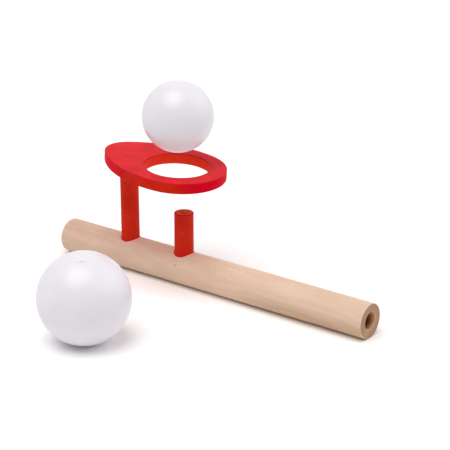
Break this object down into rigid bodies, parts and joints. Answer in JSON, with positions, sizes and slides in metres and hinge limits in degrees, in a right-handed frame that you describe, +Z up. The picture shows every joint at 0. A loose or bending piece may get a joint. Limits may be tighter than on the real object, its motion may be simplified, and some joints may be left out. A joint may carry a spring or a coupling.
{
  "type": "blow ball pipe toy",
  "caption": "Bored wooden blow pipe with an upright air nozzle, a tilted egg-shaped ring board on a post over it, a ball floating over the ring and a spare ball.",
  "frame": {"origin": "on the floor, under the middle of the whole set's box", "axes": "+X along the pipe towards its mouth, +Z up, and the spare ball stands on the -Y side of the pipe"},
  "size_m": [0.214, 0.1486, 0.1206],
  "materials": {
    "beech": "satin",
    "red_dowel": "satin",
    "red_board": "satin",
    "white_ball": "satin"
  },
  "bodies": {
    "toy": {"pipe": "beech", "nozzle": "red_dowel", "post": "red_dowel", "ring_board": "red_board"},
    "floating_ball": {"floating_ball": "white_ball"},
    "spare_ball": {"spare_ball": "white_ball"}
  },
  "joints": [
    {"name": "ball_rise", "type": "slide", "parent": "toy", "child": "floating_ball", "axis": [0, 0, 1], "range_m": [-0.0207, 0.06]},
    {"name": "spare_roll", "type": "slide", "parent": "toy", "child": "spare_ball", "axis": [0, 1, 0], "range_m": [-0.1, 0.0635]}
  ]
}
